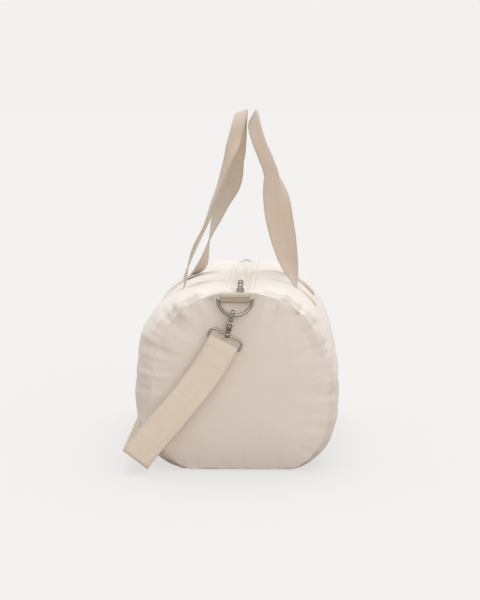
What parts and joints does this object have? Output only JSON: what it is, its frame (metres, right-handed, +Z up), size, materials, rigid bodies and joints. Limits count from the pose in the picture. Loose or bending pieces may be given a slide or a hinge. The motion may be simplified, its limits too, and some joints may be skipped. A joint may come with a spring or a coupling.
{
  "type": "barrel bag",
  "caption": "Zipped canvas barrel bag with webbing carry handles and a clip-on shoulder strap hooked to a D-ring at each end.",
  "frame": {"origin": "on the ground under the middle of the bag", "axes": "+Y along the barrel from the end with the zip slider to the other end, +Z up through the zip, +X to the side away from the shoulder strap"},
  "size_m": [0.2666, 0.5112, 0.438],
  "materials": {
    "canvas": "natural cotton canvas, plain weave",
    "webbing": "natural cotton webbing, ribbed weave",
    "binding": "cotton twill binding tape",
    "zip_tape": "woven polyester zip tape",
    "zip_coil": "moulded nylon coil",
    "nickel": "nickel plate, polished",
    "steel": "plain steel, drawn"
  },
  "bodies": {
    "bag": {"main_panel": "canvas", "front_end_panel": "canvas", "rear_end_panel": "canvas", "front_seam_binding": "binding", "rear_seam_binding": "binding", "zip_tape_left": "zip_tape", "zip_tape_right": "zip_tape", "zip_coil_left": "zip_coil", "zip_coil_right": "zip_coil", "front_zip_stop": "nickel", "rear_zip_stop": "nickel", "left_handle_ends": "webbing", "right_handle_ends": "webbing", "front_ring_tab": "webbing", "rear_ring_tab": "webbing"},
    "slider": {"zip_slider": "nickel"},
    "pull": {"zip_pull": "nickel"},
    "left_handle": {"left_handle": "webbing"},
    "right_handle": {"right_handle": "webbing"},
    "front_ring": {"front_ring": "nickel"},
    "rear_ring": {"rear_ring": "nickel"},
    "strap": {"shoulder_strap": "webbing", "front_bail": "nickel", "rear_bail": "nickel"},
    "adjuster": {"strap_adjuster": "nickel"},
    "front_hook": {"front_hook": "nickel", "front_swivel_stud": "steel", "front_gate_pin": "steel", "front_gate_spring": "steel"},
    "front_gate": {"front_gate": "nickel"},
    "rear_hook": {"rear_hook": "nickel", "rear_swivel_stud": "steel", "rear_gate_pin": "steel", "rear_gate_spring": "steel"},
    "rear_gate": {"rear_gate": "nickel"}
  },
  "joints": [
    {"name": "zip_slide", "type": "slide", "parent": "bag", "child": "slider", "axis": [0, 1, 0], "range_m": [0, 0.4204]},
    {"name": "pull_hinge", "type": "hinge", "parent": "slider", "child": "pull", "pos_m": [0, -0.2102, 0.2227], "axis": [1, 0, 0], "range_deg": [0, 160]},
    {"name": "left_handle_swing", "type": "hinge", "parent": "bag", "child": "left_handle", "pos_m": [-0.07644, 0, 0.20949], "axis": [0, 1, 0], "range_deg": [-118, 0]},
    {"name": "right_handle_swing", "type": "hinge", "parent": "bag", "child": "right_handle", "pos_m": [0.07107, 0, 0.20949], "axis": [0, 1, 0], "range_deg": [0, 117]},
    {"name": "strap_swing", "type": "hinge", "parent": "bag", "child": "strap", "pos_m": [-0.0056, 0, 0.2108], "axis": [0, 1, 0], "range_deg": [0, 18]},
    {"name": "adjuster_slide", "type": "slide", "parent": "strap", "child": "adjuster", "axis": [0, 1, 0], "range_m": [-0.24, 0.12]},
    {"name": "front_ring_tilt", "type": "hinge", "parent": "bag", "child": "front_ring", "pos_m": [-0.0056, -0.2335, 0.2108], "axis": [1, 0, 0], "range_deg": [0, 2]},
    {"name": "front_hook_swivel", "type": "hinge", "parent": "strap", "child": "front_hook", "pos_m": [-0.00925, -0.24384, 0.19289], "axis": [0.225, 0, 0.9744], "range_deg": [-25, 25]},
    {"name": "front_gate_hinge", "type": "hinge", "parent": "front_hook", "child": "front_gate", "pos_m": [-0.01129, -0.25204, 0.18402], "axis": [-0.9744, 0, 0.225], "range_deg": [0, 40], "stiffness_Nm_per_rad": 0.01, "springref_deg": -20.05},
    {"name": "rear_ring_tilt", "type": "hinge", "parent": "bag", "child": "rear_ring", "pos_m": [-0.0056, 0.2335, 0.2108], "axis": [-1, 0, 0], "range_deg": [0, 2]},
    {"name": "rear_hook_swivel", "type": "hinge", "parent": "strap", "child": "rear_hook", "pos_m": [-0.00925, 0.24384, 0.19289], "axis": [0.225, 0, 0.9744], "range_deg": [-25, 25]},
    {"name": "rear_gate_hinge", "type": "hinge", "parent": "rear_hook", "child": "rear_gate", "pos_m": [-0.01129, 0.25204, 0.18402], "axis": [0.9744, 0, -0.225], "range_deg": [0, 40], "stiffness_Nm_per_rad": 0.01, "springref_deg": -20.05}
  ]
}
